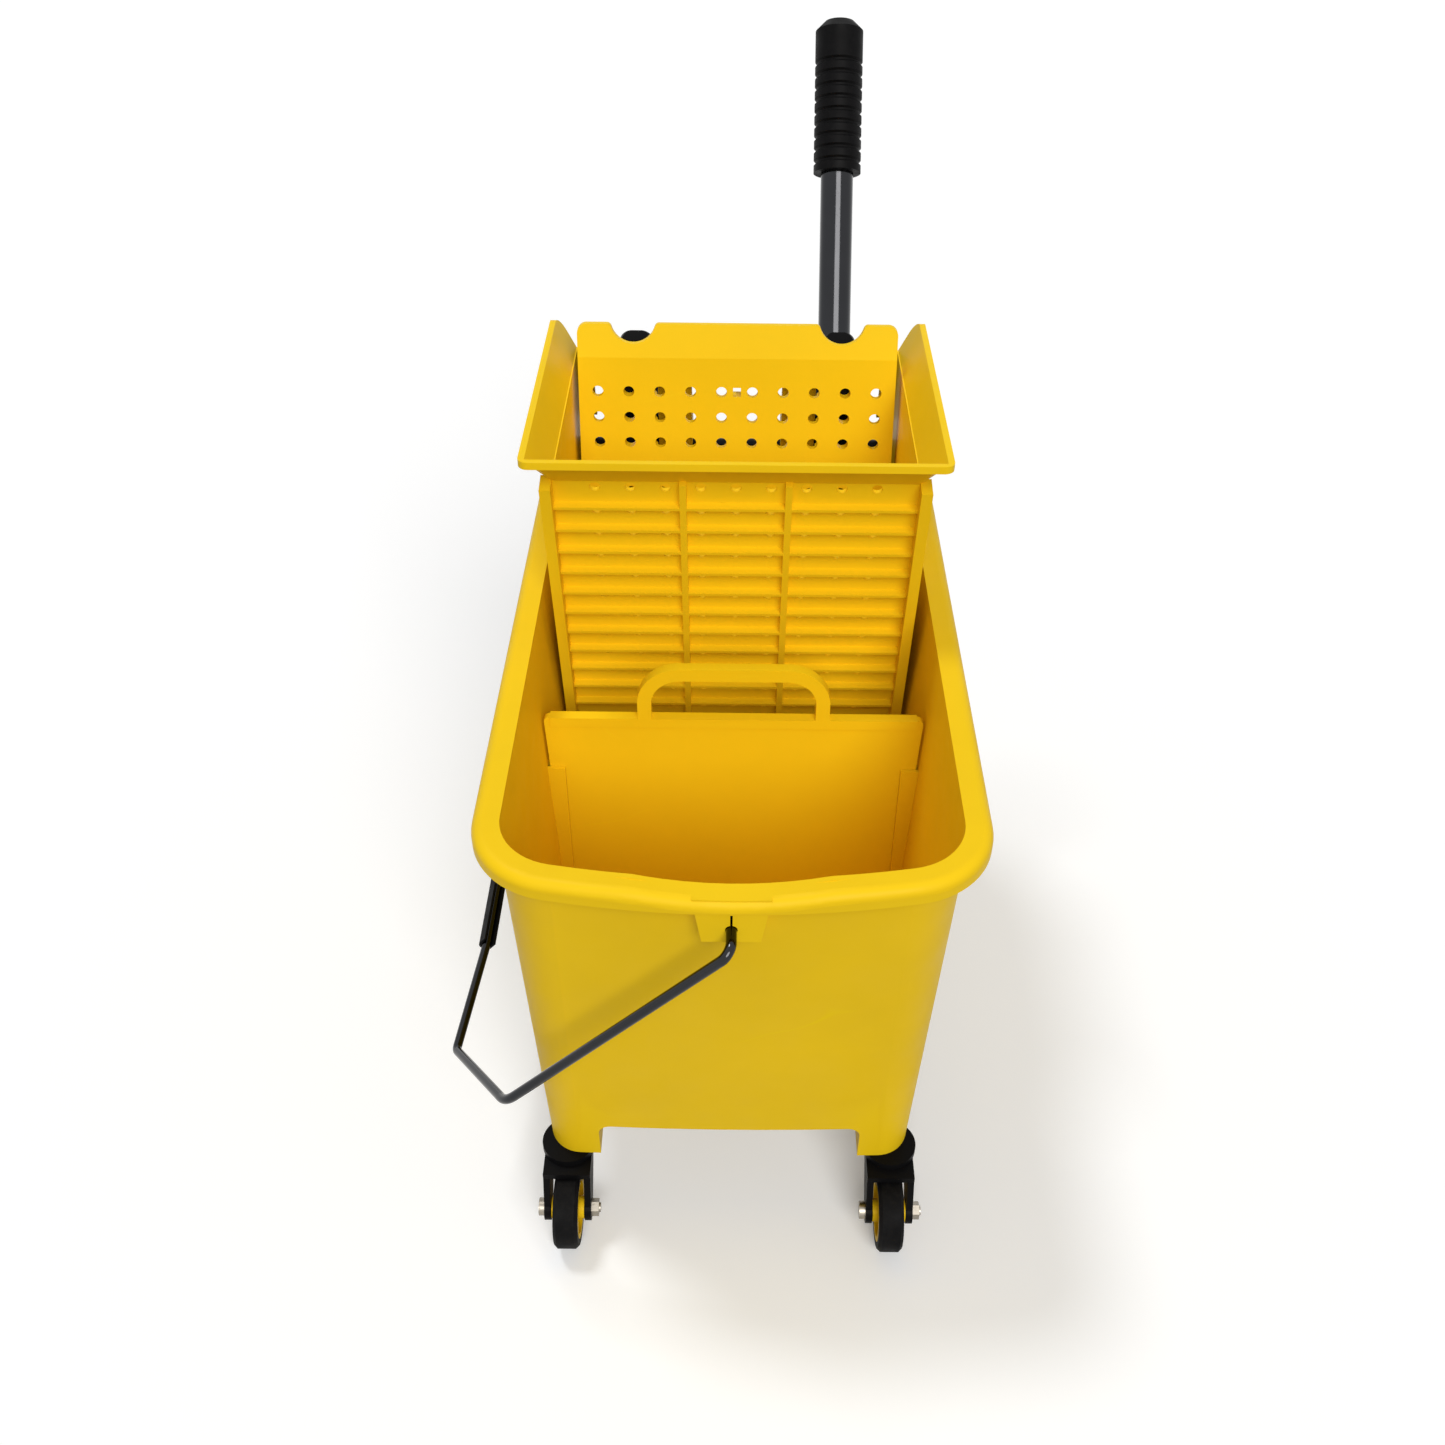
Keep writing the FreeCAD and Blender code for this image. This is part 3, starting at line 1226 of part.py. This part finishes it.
def arm(side_name, side):
    name = f"arm_{side_name}_"
    wide = both_ways(side, "arm_x - arm_width / 2", "arm_x + arm_width / 2")
    web = both_ways(side, "arm_x - arm_web / 2", "arm_x + arm_web / 2")
    socket_x = f"{side} * socket_x"
    boss = rod(name + "boss", "x", "arm_boss", wide, "shaft_y", SHAFT_Z)
    socket = rod(name + "socket", "z", "lever_tube + (lever_fit + socket_wall) * 2", ("0", "socket_top"),
                 socket_x, 0)
    gusset = prism(name + "gusset", "yz", [
        ("-gusset_front", "0"),
        ("-gusset_back", "gusset_top"),
        ("0", "gusset_top"),
        ("gusset_front", "0")], web)
    turned_part = lever_turn(fuse(name + "socket_solid", [socket, gusset]))
    tip = size(SHAFT_Z) + max(z for y, z in cam_points(size("cam_gap")))
    limit = box(name + "tip_block", wide, ("0", "rim_length"), (f"{SHAFT_Z} - arm_boss", f"{tip}"))
    limit = rounded(name + "tip_limit", limit, size("arm_tip_round"),
                    lambda edge: runs_along(edge, "y") and abs(middle(edge).z - tip) < 0.01)
    shoe = common(name + "shoe_rounded", [cam_solid(name + "shoe", size("cam_shoe"), wide), limit])
    fill = cam_solid(name + "web", None, web)
    solid = fuse(name + "solid", [boss, shoe, fill, turned_part])
    socket_bore = rod(name + "socket_bore", "z", "lever_tube + lever_fit * 2",
                      ("socket_low + wall", "socket_top + past"), socket_x, 0)
    screw_bore = rod(name + "screw_bore", "x", "lever_screw + run_gap * 2",
                     both_ways(side, "socket_x", "socket_x * 2"), 0, "lever_screw_up")
    turned_bores = lever_turn(compound(name + "bores", [socket_bore, screw_bore]))
    shaft_bore = rod(name + "shaft_bore", "x", "shaft + run_gap * 2", ("-rim_width", "rim_width"),
                     "shaft_y", SHAFT_Z)
    pin_bore = rod(name + "pin_bore", "y", "arm_pin + run_gap * 2", ("0", "shaft_y * 2"),
                   f"{side} * arm_x", SHAFT_Z)
    return cut(name + "shape", solid, [turned_bores, shaft_bore, pin_bore])


node("arm_left", arm("left", -1))
node("arm_right", arm("right", 1))
node("arm_pins", compound("arm_pins_shape", [
    rod(f"arm_pin_{i}", "y", "arm_pin", ("shaft_y - arm_boss / 2 - past", "shaft_y + arm_boss / 2 + past"),
        f"{side} * arm_x", SHAFT_Z) for i, side in enumerate((-1, 1))]))


def lever_tube():
    low = "socket_low + wall + run_gap"
    wall = rod("lever_outside", "z", "lever_tube", (low, "lever_end"), "socket_x", 0)
    hollow = rod("lever_inside", "z", "lever_tube - lever_wall * 2", ("0", "lever_end + past"), "socket_x", 0)
    hole = rod("lever_screw_hole", "x", "lever_screw + run_gap * 2", ("socket_x", "socket_x * 2"),
               0, "lever_screw_up")
    return lever_turn(cut("lever_tube_shape", wall, [hollow, hole]))


def lever_grip():
    """The hand grip: ringed outside, closed at its end."""
    low = "lever_end - grip_length + grip_cap"
    top = "lever_end + grip_cap"
    inner = "lever_tube / 2 + lever_fit"
    points = [(low, inner), (low, "grip_width / 2")]
    rings = int(size("grip_ring_run") // size("grip_ring_pitch"))
    for i in range(rings):
        start = f"{low} + grip_ring_first + {i} * grip_ring_pitch"
        points += [(start, "grip_width / 2"),
                   (f"{start} + grip_ring_depth", "grip_width / 2 - grip_ring_depth"),
                   (f"{start} + grip_ring_depth * 2", "grip_width / 2 - grip_ring_depth"),
                   (f"{start} + grip_ring_depth * 3", "grip_width / 2")]
    points += [(f"{top} - grip_cap", "grip_width / 2"), (top, "grip_width / 2 - grip_cap"),
               (top, "0"), ("lever_end + lever_fit", "0"), ("lever_end + lever_fit", inner)]
    shape = turned("lever_grip_upright", "z", points)
    return lever_turn(compound("lever_grip_shape", [move(shape, "socket_x", 0, 0)]))


def lever_screw():
    outer = "socket_x + lever_tube / 2 + lever_fit + socket_wall"
    tail = "socket_x + lever_tube / 2 - lever_wall - screw_tail"
    shank = rod("lever_screw_shank", "x", "lever_screw", (tail, outer), 0, "lever_screw_up")
    head = rod("lever_screw_head", "x", "screw_head", (outer, f"{outer} + screw_head_thick"),
               0, "lever_screw_up")
    return lever_turn(fuse("lever_screw_shape", [shank, head]))


node("lever_tube", lever_tube())
node("lever_grip", lever_grip())
node("lever_screw", lever_screw())


# --- Check every object, then write one file per piece ---------------------------

def check_and_write():
    doc.recompute()
    for item in doc.Objects:
        if "Invalid" in item.State or "Error" in item.State:
            raise RuntimeError(f"{item.Name} failed to build: {item.State}")
    os.makedirs("parts", exist_ok=True)
    for piece in NODES:
        if piece.Shape.isNull() or not piece.Shape.isValid():
            raise RuntimeError(f"{piece.Label} has no valid shape")
        piece.Shape.exportStep(f"parts/{piece.Label}.step")
        solids = len(piece.Shape.Solids)
        print(f"{piece.Label}: {solids} solid(s), {piece.Shape.Volume / 1000:.1f} cm3")


check_and_write()
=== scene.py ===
import json
import math

import bpy
from mathutils import Matrix, Vector

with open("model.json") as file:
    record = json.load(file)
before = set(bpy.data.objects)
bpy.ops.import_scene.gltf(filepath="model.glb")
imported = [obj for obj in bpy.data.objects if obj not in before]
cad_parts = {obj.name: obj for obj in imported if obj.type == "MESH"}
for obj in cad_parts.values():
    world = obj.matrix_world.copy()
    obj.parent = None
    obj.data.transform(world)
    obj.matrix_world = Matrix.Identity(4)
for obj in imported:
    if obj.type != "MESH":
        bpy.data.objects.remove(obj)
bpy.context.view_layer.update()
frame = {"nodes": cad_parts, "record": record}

nodes = frame["nodes"]
MM = 0.001
WHITE = (1.0, 1.0, 1.0, 1.0)


# --- Material helpers -------------------------------------------------------------

MIDDLE = (0.3, 0.7)              # the band that holds most of a noise's values
MIX_FIRST, MIX_SECOND, MIX_RESULT = 6, 7, 2     # the colour sockets of a Mix node


class Shader:
    """A node material that grows one node at a time."""

    def __init__(self, name):
        self.material = bpy.data.materials.new(name)
        self.material.use_nodes = True
        self.tree = self.material.node_tree
        self.tree.nodes.clear()
        output = self.tree.nodes.new("ShaderNodeOutputMaterial")
        self.surface = self.tree.nodes.new("ShaderNodeBsdfPrincipled")
        self.link(self.surface.outputs["BSDF"], output.inputs["Surface"])
        self.place = self.tree.nodes.new("ShaderNodeTexCoord").outputs["Object"]

    def link(self, start, end):
        self.tree.links.new(start, end)

    def finish(self, colour, gloss, relief, sheen=0.5, metallic=0.0):
        """Feed the surface and return the finished material."""
        self.link(colour, self.surface.inputs["Base Color"])
        self.link(gloss, self.surface.inputs["Roughness"])
        self.link(relief, self.surface.inputs["Normal"])
        self.surface.inputs["Specular IOR Level"].default_value = sheen
        self.surface.inputs["Metallic"].default_value = metallic
        return self.material

    def noise(self, scale, detail=3.0, rough=0.5, stretch=None):
        """A noise over the object's own place, in features per metre."""
        node = self.tree.nodes.new("ShaderNodeTexNoise")
        node.inputs["Scale"].default_value = scale
        node.inputs["Detail"].default_value = detail
        node.inputs["Roughness"].default_value = rough
        place = self.place
        if stretch:
            mapping = self.tree.nodes.new("ShaderNodeMapping")
            mapping.inputs["Scale"].default_value = stretch
            self.link(place, mapping.inputs["Vector"])
            place = mapping.outputs["Vector"]
        self.link(place, node.inputs["Vector"])
        return node.outputs["Fac"]

    def ramp(self, source, band, start=0.0, end=1.0):
        """Map a value from a band (low, high) to (start, end), held at both ends."""
        node = self.tree.nodes.new("ShaderNodeMapRange")
        node.inputs["From Min"].default_value, node.inputs["From Max"].default_value = band
        node.inputs["To Min"].default_value = start
        node.inputs["To Max"].default_value = end
        self.link(source, node.inputs["Value"])
        return node.outputs["Result"]

    def mix(self, factor, first, second):
        """Blend two colours, each a colour or another node's output."""
        node = self.tree.nodes.new("ShaderNodeMix")
        node.data_type = "RGBA"
        self.link(factor, node.inputs["Factor"])
        for socket, colour in ((MIX_FIRST, first), (MIX_SECOND, second)):
            if isinstance(colour, tuple):
                node.inputs[socket].default_value = colour
            else:
                self.link(colour, node.inputs[socket])
        return node.outputs[MIX_RESULT]

    def join(self, operation, first, second):
        """Join two values, of which the second may be a plain number."""
        node = self.tree.nodes.new("ShaderNodeMath")
        node.operation = operation
        self.link(first, node.inputs[0])
        if isinstance(second, float):
            node.inputs[1].default_value = second
        else:
            self.link(second, node.inputs[1])
        return node.outputs["Value"]

    def tint(self, base, where, share, colour):
        """Lay a colour over the base, by a share, where a mask says."""
        return self.mix(self.join("MULTIPLY", where, share), base, colour)

    def dull(self, gloss, where, amount):
        """Make the surface rougher where a mask says."""
        return self.join("ADD", gloss, self.join("MULTIPLY", where, amount))

    def edges(self, band):
        """A mask of the edges that stand out, which hands and mops rub."""
        geometry = self.tree.nodes.new("ShaderNodeNewGeometry")
        return self.ramp(geometry.outputs["Pointiness"], band)

    def scratches(self, scale, stretch, middle=0.5, width=0.006):
        """Fine lines: the narrow band where a stretched noise crosses its middle."""
        field = self.noise(scale, detail=2.0, stretch=stretch)
        away = self.join("ABSOLUTE", self.join("SUBTRACT", field, middle), 0.0)
        return self.ramp(away, band=(0.0, width), start=1.0, end=0.0)

    def bump(self, height, depth, strength, below=None):
        """Raise the surface by a height field, in metres, over an earlier bump."""
        node = self.tree.nodes.new("ShaderNodeBump")
        node.inputs["Strength"].default_value = strength
        node.inputs["Distance"].default_value = depth
        self.link(height, node.inputs["Height"])
        if below is not None:
            self.link(below, node.inputs["Normal"])
        return node.outputs["Normal"]


def tone(colour, gain):
    """A colour made lighter or darker, with the alpha that a socket needs."""
    return tuple(min(1.0, channel * gain) for channel in colour) + (1.0,)


# --- Materials --------------------------------------------------------------------

YELLOW = (0.94, 0.63, 0.010)
BLACK = (0.004, 0.004, 0.0044)
GRIP_BLACK = (0.003, 0.003, 0.0034)
# The chrome's colour is set near black: a painted dark reflection that stands in for dark
# surroundings mirrored in the plated steel.
CHROME_WITH_PAINTED_DARK_REFLECTION = (0.038, 0.039, 0.042)
ZINC = (0.36, 0.33, 0.28)
DUST = (0.07, 0.065, 0.06, 1.0)
RUBBER_SHEEN = 0.06


def moulded_plastic(name, colour, rough, grain, scuff, sheen):
    """Moulded plastic: cloudy tone, fine grain, rubbed edges and faint scuffs."""
    shader = Shader(name)
    cloud = shader.ramp(shader.noise(scale=9.0, detail=4.0, rough=0.6), MIDDLE)
    base = shader.mix(cloud, tone(colour, gain=0.955), tone(colour, gain=1.03))
    specks = shader.ramp(shader.noise(scale=900.0, detail=2.0), band=(0.70, 0.76))
    base = shader.tint(base, specks, share=0.10, colour=tone(colour, gain=0.6))
    lines = shader.scratches(scale=6.0, stretch=(1.0, 9.0, 2.0))
    worn = shader.ramp(shader.noise(scale=16.0), band=(0.55, 0.7))
    marks = shader.join("MULTIPLY", lines, worn)
    base = shader.tint(base, marks, share=scuff, colour=tone(colour, gain=1.25))
    rubbed = shader.edges(band=(0.52, 0.60))
    base = shader.tint(base, rubbed, share=0.35, colour=tone(colour, gain=1.12))
    patches = shader.noise(scale=38.0, detail=4.0, rough=0.6)
    gloss = shader.ramp(patches, MIDDLE, start=rough - 0.06, end=rough + 0.07)
    gloss = shader.dull(gloss, marks, amount=0.2)
    relief = shader.bump(shader.noise(scale=1400.0), depth=grain, strength=0.5)
    waves = shader.noise(scale=11.0, detail=2.0)
    relief = shader.bump(waves, depth=0.5 * MM, strength=0.25, below=relief)
    relief = shader.bump(lines, depth=-0.02 * MM, strength=0.4, below=relief)
    return shader.finish(base, gloss, relief, sheen=sheen)


def bare_metal(name, colour, rough, streak, pit):
    """Plated steel: drawn streaks, a little haze and fine pits."""
    shader = Shader(name)
    haze = shader.ramp(shader.noise(scale=30.0, detail=4.0, rough=0.6), MIDDLE)
    base = shader.mix(haze, tone(colour, gain=0.92), tone(colour, gain=1.05))
    pits = shader.ramp(shader.noise(scale=420.0, detail=2.0), band=(0.66, 0.72))
    base = shader.tint(base, pits, share=pit, colour=tone(colour, gain=0.45))
    streaks = shader.noise(scale=60.0, detail=5.0, rough=0.7, stretch=streak)
    gloss = shader.ramp(streaks, MIDDLE, start=rough * 0.6, end=rough * 1.5)
    gloss = shader.dull(gloss, pits, amount=0.15)
    drawn = shader.noise(scale=500.0, stretch=streak)
    relief = shader.bump(drawn, depth=0.02 * MM, strength=0.3)
    return shader.finish(base, gloss, relief, metallic=1.0)


def worn_rubber(name, colour, rough, dust):
    """Rubber: dull, with a dusty bloom that lies over it in patches."""
    shader = Shader(name)
    cloud = shader.ramp(shader.noise(scale=70.0, detail=5.0, rough=0.65), band=(0.35, 0.75))
    base = shader.mix(cloud, tone(colour, gain=0.8), tone(colour, gain=1.5))
    bloom = shader.ramp(shader.noise(scale=240.0, detail=4.0, rough=0.7), band=(0.45, 0.75))
    base = shader.tint(base, bloom, share=dust, colour=DUST)
    gloss = shader.ramp(shader.noise(scale=120.0), MIDDLE, start=rough - 0.08, end=rough + 0.1)
    pores = shader.noise(scale=1800.0, detail=2.0)
    relief = shader.bump(pores, depth=0.05 * MM, strength=0.5)
    dents = shader.noise(scale=150.0)
    relief = shader.bump(dents, depth=0.15 * MM, strength=0.3, below=relief)
    return shader.finish(base, gloss, relief, sheen=RUBBER_SHEEN)


LOOKS = {
    "yellow_plastic": (moulded_plastic, dict(
        colour=YELLOW, rough=0.44, grain=0.03 * MM, scuff=0.30, sheen=0.10)),
    "black_plastic": (moulded_plastic, dict(
        colour=BLACK, rough=0.42, grain=0.06 * MM, scuff=0.8, sheen=0.05)),
    "black_grip": (worn_rubber, dict(colour=GRIP_BLACK, rough=0.5, dust=0.04)),
    "tyre_rubber": (worn_rubber, dict(colour=BLACK, rough=0.6, dust=0.08)),
    "black_paint": (moulded_plastic, dict(
        colour=BLACK, rough=0.35, grain=0.02 * MM, scuff=0.5, sheen=0.06)),
    # Chrome with a near-black colour: a painted dark reflection.
    "chrome": (bare_metal, dict(
        colour=CHROME_WITH_PAINTED_DARK_REFLECTION, rough=0.10, streak=(12.0, 12.0, 1.0), pit=0.10)),
    "zinc_steel": (bare_metal, dict(
        colour=ZINC, rough=0.32, streak=(1.0, 1.0, 1.0), pit=0.35)),
}
MATERIALS = {slot: make(slot, **look) for slot, (make, look) in LOOKS.items()}

for part in frame["record"]["subparts"]:
    mesh = nodes[part["node"]].data
    mesh.materials.clear()
    mesh.materials.append(MATERIALS[part["material_slot"]])


# --- Rounded mould edges ----------------------------------------------------------

SHARP_ANGLE = math.radians(32.0)     # a steeper turn between two faces is an edge
ROUND_SEGMENTS = 2
EDGE_ROUNDS = {                      # how wide each node's edge round is, in mm
    "bucket_tub": 0.8, "divider_panel": 0.7, "wringer_basket": 0.5, "press_plate": 0.5,
    "arm_left": 0.5, "arm_right": 0.5, "bail_grip": 0.6,
}
CASTER_ROUNDS = {"fork": 0.6, "mount": 0.5, "tyre": 0.7, "hub": 0.4}


def soften(node_name, width):
    """Round a CAD node's sharp edges a little, as moulding or deburring does."""
    bevel = nodes[node_name].modifiers.new("edge_round", "BEVEL")
    bevel.width = width * MM
    bevel.segments = ROUND_SEGMENTS
    bevel.limit_method = "ANGLE"
    bevel.angle_limit = SHARP_ANGLE
    bevel.use_clamp_overlap = True
    bevel.harden_normals = True


for node_name, width in EDGE_ROUNDS.items():
    soften(node_name, width)
for corner in ("fl", "fr", "rl", "rr"):
    for piece, width in CASTER_ROUNDS.items():
        soften(f"caster_{corner}_{piece}", width)


# --- Camera -----------------------------------------------------------------------

CAMERA_PLACE = Vector((0.0, -0.7205, 0.8525))
CAMERA_DOWN = math.radians(39.65)
CAMERA_ROLL = math.radians(0.6)
SENSOR = 36.0
IMAGE_WIDTH = 1445
FOCAL_LENGTH = 1473                  # in the same unit as the image's width
FRAME_SHIFT = 11                     # how far the framing is moved sideways, likewise


def add_camera():
    data = bpy.data.cameras.new("camera")
    data.sensor_width = SENSOR
    data.lens = SENSOR * FOCAL_LENGTH / IMAGE_WIDTH
    data.shift_x = -FRAME_SHIFT / IMAGE_WIDTH
    camera = bpy.data.objects.new("camera", data)
    tilt = Matrix.Rotation(math.pi / 2 - CAMERA_DOWN, 4, "X")
    roll = Matrix.Rotation(CAMERA_ROLL, 4, "Z")
    camera.matrix_world = Matrix.Translation(CAMERA_PLACE) @ tilt @ roll
    bpy.context.scene.collection.objects.link(camera)
    bpy.context.scene.camera = camera


# --- Light and floor --------------------------------------------------------------

LAMP_BACK = 2.0                      # how far a lamp stands back along its own light
FLOOR_SEEN = (0.93, 0.963, 1.0, 1.0)
FLOOR_AS_LIGHT = (0.25, 0.25, 0.25, 1.0)


def add_sun(name, toward, spread, power, colour):
    """Parallel light that travels along "toward"; its spread in degrees softens the shadow."""
    data = bpy.data.lights.new(name, "SUN")
    data.angle = math.radians(spread)
    data.energy = power
    data.color = colour
    lamp = bpy.data.objects.new(name, data)
    lamp.location = -LAMP_BACK * Vector(toward)
    lamp.rotation_euler = Vector(toward).to_track_quat("-Z", "Y").to_euler()
    bpy.context.scene.collection.objects.link(lamp)


def seen_directly(tree):
    """1 for rays from the camera, a mirror or glass, 0 for light on its way."""
    path = tree.nodes.new("ShaderNodeLightPath")
    total = path.outputs["Is Camera Ray"]
    for ray in ("Is Glossy Ray", "Is Transmission Ray"):
        highest = tree.nodes.new("ShaderNodeMath")
        highest.operation = "MAXIMUM"
        tree.links.new(total, highest.inputs[0])
        tree.links.new(path.outputs[ray], highest.inputs[1])
        total = highest.outputs["Value"]
    return total


def glow(tree, kind, strength, colour=WHITE):
    """A node that gives light: a Background for the world, an Emission for a surface."""
    node = tree.nodes.new(kind)
    node.inputs["Color"].default_value = colour
    node.inputs["Strength"].default_value = strength
    return node.outputs[0]


def matt(tree, colour):
    node = tree.nodes.new("ShaderNodeBsdfDiffuse")
    node.inputs["Color"].default_value = colour
    return node.outputs["BSDF"]


def blend(tree, factor, first, second):
    mix = tree.nodes.new("ShaderNodeMixShader")
    tree.links.new(factor, mix.inputs["Fac"])
    tree.links.new(first, mix.inputs[1])
    tree.links.new(second, mix.inputs[2])
    return mix.outputs["Shader"]


def add_world(strength, colour):
    """A plain surround: white where it is seen, dimmer and warmer as light."""
    world = bpy.data.worlds.new("studio")
    bpy.context.scene.world = world
    world.use_nodes = True
    tree = world.node_tree
    tree.nodes.clear()
    as_light = glow(tree, "ShaderNodeBackground", strength, colour)
    seen = glow(tree, "ShaderNodeBackground", 1.0)
    output = tree.nodes.new("ShaderNodeOutputWorld")
    surround = blend(tree, seen_directly(tree), as_light, seen)
    tree.links.new(surround, output.inputs["Surface"])


def add_floor(half, lift):
    """A white floor that keeps the shadow, lifted a little where it is seen."""
    corners = [(-half, -half, 0.0), (half, -half, 0.0), (half, half, 0.0), (-half, half, 0.0)]
    mesh = bpy.data.meshes.new("studio_floor")
    mesh.from_pydata(corners, [], [(0, 1, 2, 3)])
    floor = bpy.data.objects.new("studio_floor", mesh)
    bpy.context.scene.collection.objects.link(floor)
    material = bpy.data.materials.new("studio_floor")
    material.use_nodes = True
    tree = material.node_tree
    tree.nodes.clear()
    seen = tree.nodes.new("ShaderNodeAddShader")
    tree.links.new(matt(tree, FLOOR_SEEN), seen.inputs[0])
    tree.links.new(glow(tree, "ShaderNodeEmission", lift), seen.inputs[1])
    as_light = matt(tree, FLOOR_AS_LIGHT)
    surface = blend(tree, seen_directly(tree), as_light, seen.outputs["Shader"])
    output = tree.nodes.new("ShaderNodeOutputMaterial")
    tree.links.new(surface, output.inputs["Surface"])
    mesh.materials.append(material)


add_camera()
add_world(strength=0.29, colour=(1.0, 0.93, 0.86, 1.0))
add_floor(half=6.0, lift=0.12)
add_sun("front", toward=(-0.14, 0.77, -0.63), spread=34.0, power=2.05, colour=(1.0, 0.97, 0.93))
add_sun("side", toward=(0.30, -0.20, -0.93), spread=12.0, power=0.90, colour=WHITE[:3])
bpy.context.scene.view_settings.view_transform = "Standard"
